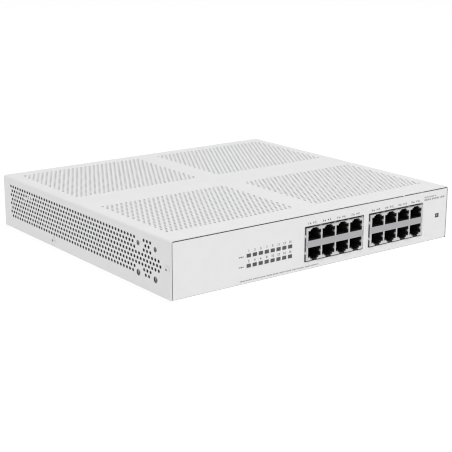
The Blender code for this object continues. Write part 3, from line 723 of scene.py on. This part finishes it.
def make_tray_flanges():
    """Side flanges, corner returns and board pillars on the tray."""
    bm = bmesh.new()
    low_z = CASE_Z + SHEET + GAP
    for side in (-1, 1):
        x0, x1 = sorted((side * TRAY_HIGH.x, side * (TRAY_HIGH.x - SHEET)))
        block(bm, (x0, FLANGE_Y[0], low_z), (x1, FLANGE_Y[1], CASE_Z + FLANGE_TOP))
        high_z = TRAY_HIGH.z - SHEET
        block(bm, (x0, FRONT_Y + SHEET + GAP, low_z), (x1, FRONT_Y + CORNER_RETURN, high_z))
        block(bm, (x0, REAR_Y - CORNER_RETURN, low_z), (x1, REAR_Y - SHEET - GAP, high_z))
    for name in frame["nodes"]:
        if "board_screw" in name:
            centre = middle_of(name)
            board = name.split("_screw")[0]
            bottom, top = CASE_Z + SHEET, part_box(board)[0][2]
            profile = [(PILLAR_BORE, bottom), (PILLAR_RADIUS, bottom), (PILLAR_RADIUS, top - PILLAR_CHAMFER)]
            profile += [(PILLAR_RADIUS - PILLAR_CHAMFER, top), (PILLAR_BORE, top)]
            turned(bm, profile, 20, Matrix.Translation((centre.x, centre.y, 0.0)), hollow=True)
    # The flanges take the dark inside steel, painted shade inside the case.
    stand_for(add_solid("tray_flanges", bm, ("inside",)), "white_paint")


# ---------------------------------------------------------------- sockets


def socket_outline(x, middle, direction):
    """A socket's stepped mouth, with its latch notch up for direction 1 and down for -1."""
    right = [(SOCKET_HALF, SOCKET_INNER), (SOCKET_HALF, SOCKET_OUTER)]
    for width, height in NOTCHES:
        right += [(width, right[-1][1]), (width, height)]
    return [(x + u, middle + direction * v) for u, v in right + [(-u, v) for u, v in reversed(right)]]


def sockets(hand):
    """(x, middle z, direction) of the eight sockets of a block, its upper row first."""
    low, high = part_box(f"port_shield_{hand}")
    centre = (low[0] + high[0]) / 2
    middle = high[2] - BLOCK_HEIGHT / 2
    for direction in (1, -1):
        for column in range(4):
            yield centre + (column - 1.5) * SOCKET_PITCH, middle, direction


def leaf(bm, points, width_axis, centre, half_width, thickness):
    """A strip of even thickness along points in the plane across its width axis."""
    points = [Vector(point) for point in points]
    sides = []
    for before, after in zip([points[0], *points], [*points[1:], points[-1]]):
        run = (after - before).normalized() * thickness / 2
        sides.append(Vector((-run.y, run.x)))
    outline = [point + side for point, side in zip(points, sides)]
    outline += [point - side for point, side in zip(points, sides)][::-1]
    prism(bm, [tuple(point) for point in outline], width_axis, centre - half_width, centre + half_width)


def bowed(x, bow, start, length):
    """Points of a leaf spring that leaves x, bulges by bow and comes back, going rearward."""
    steps = 10
    return [(x + bow * math.sin(math.pi * t / steps), start + length * t / steps) for t in range(steps + 1)]


def make_shield(hand):
    """The plated shield of a block, a folded box that is open below."""
    node = f"port_shield_{hand}"
    low, high = (Vector(corner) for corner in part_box(node))
    low.y += BAND_PROUD
    bm = bmesh.new()
    block(bm, low, high)
    bmesh.ops.recalc_face_normals(bm, faces=bm.faces)
    upright = [edge for edge in bm.edges if min(vertex.co.z for vertex in edge.verts) > low.z + GAP]
    upright += [edge for edge in bm.edges if abs(edge.verts[0].co.z - edge.verts[1].co.z) > GAP]
    bmesh.ops.bevel(bm, geom=upright, offset=SHIELD_CORNER, segments=3, affect="EDGES", profile=0.5)
    shield = add_object(f"socket_shield_{hand}", bm, ("shield",))
    wall = Vector((SHIELD, SHIELD, SHIELD))
    bm = bmesh.new()
    block(bm, (low.x + SHIELD, low.y + SHIELD, low.z - SHEET), high - wall)
    cut(shield, bm)
    bm = bmesh.new()
    for x, middle, direction in sockets(hand):
        prism(bm, socket_outline(x, middle, direction), "Y", low.y - SHEET, low.y + SHIELD + FIT / 2)
    cut(shield, bm)
    stand_for(shield, "plated_steel", node)

    # The band over the middle bar is a darker copy of the shield plate, painted shade.
    middle = high.z - BLOCK_HEIGHT / 2
    band_low = (low.x + SHIELD, low.y - BAND_PROUD, middle - BAND_HALF)
    bm = bmesh.new()
    block(bm, band_low, (high.x - SHIELD, low.y - BAND_PROUD / 4, middle + BAND_HALF))
    stand_for(add_solid(f"shield_band_{hand}", bm, ("band",)), "plated_steel")


def make_springs(hand):
    """Springs in every socket, and grounding fingers between the shield and the panel."""
    low, high = (Vector(corner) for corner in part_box(f"port_shield_{hand}"))
    start = low.y + SPRING_START
    bm = bmesh.new()
    for x, middle, direction in sockets(hand):
        z = middle + direction * (SOCKET_INNER + SOCKET_OUTER) / 2
        for side in (-1, 1):
            points = bowed(x + side * (SOCKET_HALF - SPRING_FOOT), -side * WALL_BOW, start, WALL_LENGTH)
            leaf(bm, points, "Z", z, WALL_HALF, SPRING)
        if x < low.x + SOCKET_PITCH:
            points = bowed(low.x - SPRING_FOOT, -FINGER_BOW, start, SIDE_FINGER_LENGTH)
            leaf(bm, points, "Z", z, FINGER_HALF, SPRING)
        if x > high.x - SOCKET_PITCH:
            points = bowed(high.x + SPRING_FOOT, FINGER_BOW, start, SIDE_FINGER_LENGTH)
            leaf(bm, points, "Z", z, FINGER_HALF, SPRING)
        if direction > 0:
            points = bowed(high.z + SPRING_FOOT, FINGER_BOW, low.y + TOP_FINGER_START, TOP_FINGER_LENGTH)
            points = [(back, up) for up, back in points]
            leaf(bm, points, "X", x + SOCKET_PITCH / 2, FINGER_HALF, SPRING)
    stand_for(add_solid(f"socket_springs_{hand}", bm, ("shield",)), "plated_steel")


def make_contacts(hand):
    """Eight bent wires in each socket, and the carrier that holds them."""
    node = f"port_contacts_{hand}"
    low, high = (Vector(corner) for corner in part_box(node))
    carrier_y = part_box(f"port_housing_{hand}")[1][1] + FIT
    bm = bmesh.new()
    block(bm, (low.x, carrier_y, low.z), high)
    carrier = add_object(f"contact_carrier_{hand}", bm, ("black",))
    bm = bmesh.new()
    for x, middle, direction in sockets(hand):
        base = middle + direction * (SOCKET_INNER + WIRE_RISE)
        turn_y = low.y + WIRE_TURN
        bend = [
            (turn_y - WIRE_BEND * math.sin(a), base + direction * WIRE_BEND * (1 - math.cos(a)))
            for a in WIRE_BEND_ANGLES
        ]
        end = (low.y + WIRE_END[0], base + direction * WIRE_END[1])
        path = [(carrier_y - CARRIER_GAP, base), (turn_y, base), *bend, end]
        for wire in range(CONTACTS):
            wire_x = x + (wire - (CONTACTS - 1) / 2) * CONTACT_PITCH
            leaf(bm, path, "X", wire_x, WIRE_HALF, WIRE_THICKNESS)
    wires = add_solid(f"contact_wires_{hand}", bm, ("gold",))
    stand_for(wires, "contact_gold", node)
    stand_for(carrier, "black_plastic")


# ---------------------------------------------------------------- lamps


def make_light_pipe(level):
    """A smoked bar with one tooth for each lamp window."""
    node = f"lamp_light_pipe_{level}"
    low, high = (Vector(corner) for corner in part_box(node))
    bm = bmesh.new()
    bar_y = high.y - LAMP_BAR_DEPTH
    block(bm, (low.x, bar_y, low.z), high)
    windows = [outline for outline in lamp_windows() if abs(outline[0][1] - low.z + FIT) < GAP / 3]
    for outline in windows:
        (x0, z0), _, (x1, z1), _ = outline
        tooth = rectangle((x0 + LAMP_GAP, z0 + LAMP_GAP), (x1 - LAMP_GAP, z1 - LAMP_GAP))
        prism(bm, rounded(tooth, WINDOW_CORNER), "Y", FRONT_Y + LAMP_GAP, bar_y - HAIR_GAP)
    stand_for(add_solid(f"smoked_lamps_{level}", bm, ("pipe",)), "light_pipe", node)


def make_power_bezel():
    """A dark frame round the power lamp, in front of its light pipe."""
    (x0, z0), _, (x1, z1), _ = power_window()
    front, back = FRONT_Y + BEZEL_SET_BACK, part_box("power_light_pipe")[0][1] - HAIR_GAP
    left, right, bottom, top = x0 + BEZEL_RIM, x1 - BEZEL_RIM, z0 + BEZEL_RIM, z1 - BEZEL_RIM
    bm = bmesh.new()
    for low, high in (
        ((x0, z0), (left, z1)),
        ((right, z0), (x1, z1)),
        ((left, z0), (right, bottom)),
        ((left, top), (right, z1)),
    ):
        block(bm, (low[0], front, low[1]), (high[0], back, high[1]))
    stand_for(add_solid("power_lamp_bezel", bm, ("bezel",)), "black_plastic")


# ---------------------------------------------------------------- screws and nuts


def outward(node):
    """(matrix, side) of a node: Z points out of its side of the case, from the plane x = 0."""
    centre = middle_of(node)
    side = 1 if centre.x > 0 else -1
    return Matrix.Translation((0.0, centre.y, centre.z)) @ Matrix.Rotation(side * math.pi / 2, 4, "Y"), side


def make_cover_screw(node):
    """A flat-headed screw with a six-lobed recess, its head on the cover and its shank threaded."""
    matrix, side = outward(node)
    low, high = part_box(node)
    face = max(abs(low[0]), abs(high[0]))
    end = min(abs(low[0]), abs(high[0]))
    seat = SIDE_X + HAIR_GAP
    height = end + SCREW_TAPER
    profile = [(SCREW_POINT, end), (SCREW_NECK, height)]
    while height < seat - NECK_LENGTH:
        profile += [(THREAD_CREST, height + CREST_RISE), (THREAD_ROOT, height + ROOT_RISE)]
        height += THREAD_PITCH
    profile += [(SCREW_NECK, seat), (HEAD_FLAT, seat), (HEAD_RADIUS, seat + UNDER_EDGE)]
    profile += [(HEAD_RADIUS, face - UPPER_EDGE), (HEAD_FLAT, face - TOP_EDGE), (HEAD_TOP, face)]
    bm = bmesh.new()
    turned(bm, profile, 32, matrix)
    screw = add_solid(node.replace("cover_screw", "lid_screw"), bm, ("paint", "recess"))
    bm = bmesh.new()
    centre = middle_of(node)
    outline = []
    for step in range(RECESS_STEPS):
        angle = 2 * math.pi * step / RECESS_STEPS
        radius = RECESS_RADIUS + RECESS_LOBE * math.cos(RECESS_LOBES * angle)
        outline.append((centre.y + radius * math.cos(angle), centre.z + radius * math.sin(angle)))
    prism(bm, outline, "X", side * (face - RECESS_DEPTH), side * (face + SHEET))
    cut(screw, bm)
    # The recess faces take the grey recess colour, painted shade in the recess.
    for polygon in screw.data.polygons:
        near = math.dist(polygon.center.yz, centre.yz) < RECESS_REACH
        depth = face - abs(polygon.center.x)
        if near and 0.0001 < depth < RECESS_DEPTH + 0.0001:
            polygon.material_index = 1
    stand_for(screw, "white_paint", node)


def make_rack_nut(node):
    """A pressed-in nut with a threaded bore, behind an ear hole."""
    matrix, _ = outward(node)
    low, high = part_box(node)
    near = min(abs(low[0]), abs(high[0]))
    far = SIDE_X - COVER_SHEET - NUT_GAP
    radius = (high[1] - low[1]) / 2
    profile = [(NUT_BORE, far), (radius - NUT_CHAMFER, far), (radius, far - NUT_CHAMFER)]
    profile += [(radius, near + NUT_LIP_RISE), (radius - NUT_LIP, near), (NUT_BORE, near)]
    height = near + NUT_LEAD_IN
    while height < far - NUT_LEAD_OUT:
        profile += [(NUT_CREST, height + NUT_CREST_RISE), (NUT_ROOT, height + NUT_ROOT_RISE)]
        height += NUT_PITCH
    bm = bmesh.new()
    turned(bm, profile, ROUND_SIDES, matrix, hollow=True)
    nut = add_solid(node.replace("rack_nut", "pressed_nut"), bm, ("screw",), NUT_SHARP_ANGLE)
    stand_for(nut, "plated_steel", node)


# ---------------------------------------------------------------- feet


def make_foot(node):
    """A round rubber foot with a rounded rim and a dished sole."""
    low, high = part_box(node)
    centre = middle_of(node)
    radius = (high[0] - low[0]) / 2
    top, bottom = high[2], low[2]
    inner = radius - FOOT_EDGE
    profile = [(FOOT_AXIS, top), (inner, top), (radius, top - FOOT_EDGE), (inner, bottom + FOOT_ROUND)]
    for step in range(5):
        angle = math.pi / 2 * step / 4
        round_x = radius - FOOT_EDGE - FOOT_ROUND + FOOT_ROUND * math.cos(angle)
        profile.append((round_x, bottom + FOOT_ROUND * (1 - math.sin(angle))))
    dish = bottom + FOOT_DISH_DEPTH
    profile += [(radius - FOOT_RIM, bottom), (radius - FOOT_DISH, dish), (FOOT_AXIS, dish)]
    bm = bmesh.new()
    turned(bm, profile, 48, Matrix.Translation((centre.x, centre.y, 0.0)))
    stand_for(add_solid(node.replace("foot", "rubber_foot"), bm, ("rubber",)), "foot_rubber", node)


# ---------------------------------------------------------------- panel print


def add_flat(bm, outline):
    """A thin printed shape on the front panel, from its outline in x and z."""
    prism(bm, outline, "Y", FRONT_Y - INK_PROUD, FRONT_Y - INK_PROUD + INK_DEPTH)


def add_number(bm, number, x, z, height):
    """A printed number centred on x and z, drawn with Blender's own font."""
    curve = bpy.data.curves.new("number", "FONT")
    curve.body = str(number)
    curve.align_x = "CENTER"
    curve.align_y = "CENTER"
    curve.size = height / CAPITAL_SHARE
    curve.resolution_u = 3
    curve.offset = 0.00005
    words = bpy.data.objects.new("number", curve)
    bpy.context.scene.collection.objects.link(words)
    bpy.context.view_layer.update()
    graph = bpy.context.evaluated_depsgraph_get()
    mesh = bpy.data.meshes.new_from_object(words.evaluated_get(graph))
    mesh.transform(Matrix.Translation((x, FRONT_Y - INK_PROUD, z)) @ Matrix.Rotation(math.pi / 2, 4, "X"))
    bm.from_mesh(mesh)
    bpy.data.objects.remove(words)
    bpy.data.meshes.remove(mesh)


def make_print():
    """Port and lamp numbers, arrowheads and plain rows of ticks. No words are printed."""
    bm = bmesh.new()
    for index, outline in enumerate(lamp_windows()):
        (x0, _), _, (x1, top), _ = outline
        number = 2 * (index % LAMPS) + 1 + index // LAMPS
        add_number(bm, number, (x0 + x1) / 2, top + LAMP_LABEL_RISE, LAMP_LABEL)
    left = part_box("lamp_light_pipe_upper")[0][0]
    for outline in lamp_windows():
        if outline[0][0] < left + LAMP_WIDTH:
            z = (outline[0][1] + outline[2][1]) / 2
            for start, width in ROW_MARKS:
                lower_left = (left - start, z - ROW_MARK_DOWN)
                add_flat(bm, rectangle(lower_left, (left - start + width, z + ROW_MARK_UP)))
    for block_index, hand in enumerate(HANDS):
        for column, (x, _, _) in enumerate(list(sockets(hand))[:4]):
            first = 8 * block_index + 2 * column + 1
            centre = x - (3 - column) * (PORT_LABEL_PITCH - SOCKET_PITCH)
            z = CASE_Z + PORT_LABEL_Z
            for side in (-1, 1):
                number = first + (side + 1) // 2
                add_number(bm, number, centre + side * PORT_LABEL_SPREAD, z, PORT_LABEL)
                tip = centre + side * ARROW_SPREAD
                base = z + side * ARROW_BASE
                corners = [(tip - ARROW_HALF, base), (tip + ARROW_HALF, base)]
                add_flat(bm, [*corners, (tip, z - side * ARROW_TIP)])
    for start, stop, z, height in PLAIN_LINES:
        x, step = start, 0
        while x < stop:
            width = height * TICK_WIDTHS[step % len(TICK_WIDTHS)]
            if step % TICK_GROUP != TICK_LEFT_OUT:
                add_flat(bm, rectangle((x, CASE_Z + z), (x + width, CASE_Z + z + height)))
            x += width + height * TICK_SPACE
            step += 1
    stand_for(add_object("panel_print", bm, ("ink",)), "black_plastic")


# ---------------------------------------------------------------- setting


def make_floor():
    """A wide pale floor that glows a little, so that it meets the white studio without a line."""
    bm = bmesh.new()
    bmesh.ops.create_circle(bm, cap_ends=True, segments=64, radius=FLOOR_RADIUS)
    floor = bpy.data.objects.new("floor", bpy.data.meshes.new("floor"))
    bm.to_mesh(floor.data)
    bm.free()
    bpy.context.scene.collection.objects.link(floor)
    nodes = Nodes("pale_floor")
    nodes.set(Base_Color=(0.24, 0.24, 0.24, 1.0), Roughness=0.9, Emission_Color=(1.0, 1.0, 1.0, 1.0))
    nodes.set(Emission_Strength=FLOOR_GLOW)
    floor.data.materials.append(nodes.material)


def make_light():
    """A white studio, brightest along its horizon, and a large soft light above the front."""
    world = bpy.data.worlds.new("studio")
    bpy.context.scene.world = world
    world.use_nodes = True
    tree = world.node_tree
    background = tree.nodes["Background"]
    background.inputs["Color"].default_value = (1.0, 1.0, 1.0, 1.0)
    direction = tree.nodes.new("ShaderNodeTexCoord")
    height = tree.nodes.new("ShaderNodeSeparateXYZ")
    level = tree.nodes.new("ShaderNodeMapRange")
    limits = (("From Min", 0.0), ("From Max", HORIZON), ("To Min", HORIZON_LEVEL), ("To Max", LIGHT_LEVEL))
    for key, value in limits:
        level.inputs[key].default_value = value
    tree.links.new(direction.outputs["Generated"], height.inputs["Vector"])
    tree.links.new(height.outputs["Z"], level.inputs["Value"])
    tree.links.new(level.outputs["Result"], background.inputs["Strength"])
    lamp = bpy.data.lights.new("key", "AREA")
    lamp.size = KEY_SIZE
    lamp.energy = KEY_POWER
    holder = bpy.data.objects.new("key", lamp)
    holder.location = KEY_PLACE
    away = Vector(KEY_PLACE) - middle_of("top_cover")
    holder.rotation_euler = away.to_track_quat("Z", "Y").to_euler()
    bpy.context.scene.collection.objects.link(holder)


def make_camera():
    """A camera at the photo's viewing angle, distance and frame."""
    azimuth, elevation, roll = (math.radians(angle) for angle in CAMERA_ANGLES)
    level = math.cos(elevation)
    back = Vector((math.sin(azimuth) * level, -math.cos(azimuth) * level, math.sin(elevation)))
    right = Vector((math.cos(azimuth), math.sin(azimuth), 0.0))
    up = back.cross(right)
    across = right * math.cos(roll) + up * math.sin(roll)
    upward = up * math.cos(roll) - right * math.sin(roll)
    centre = Vector((0.0, 0.0, (CASE_Z + TOP_Z) / 2))
    distance, side_step, rise = (CASE_WIDTH * share for share in CAMERA_PLACE)
    eye = centre + back * distance + across * side_step + upward * rise
    camera = bpy.data.objects.new("camera", bpy.data.cameras.new("camera"))
    camera.data.lens = LENS
    camera.data.sensor_width = SENSOR_WIDTH
    camera.data.clip_end = CLIP_END
    camera.matrix_world = Matrix.Translation(eye) @ Matrix((across, upward, back)).transposed().to_4x4()
    bpy.context.scene.collection.objects.link(camera)
    bpy.context.scene.camera = camera


def main():
    bpy.context.scene.view_settings.view_transform = "Standard"
    bpy.context.scene.cycles.filter_width = PIXEL_FILTER
    dress_cad_nodes()
    make_cover()
    make_tray()
    make_tray_flanges()
    for hand in HANDS:
        make_shield(hand)
        make_springs(hand)
        make_contacts(hand)
    for name in list(frame["nodes"]):
        if name.startswith("cover_screw"):
            make_cover_screw(name)
        elif name.startswith("rack_nut"):
            make_rack_nut(name)
        elif name.startswith("foot_"):
            make_foot(name)
    for level in ("upper", "lower"):
        make_light_pipe(level)
    make_power_bezel()
    make_print()
    make_floor()
    make_light()
    make_camera()


main()
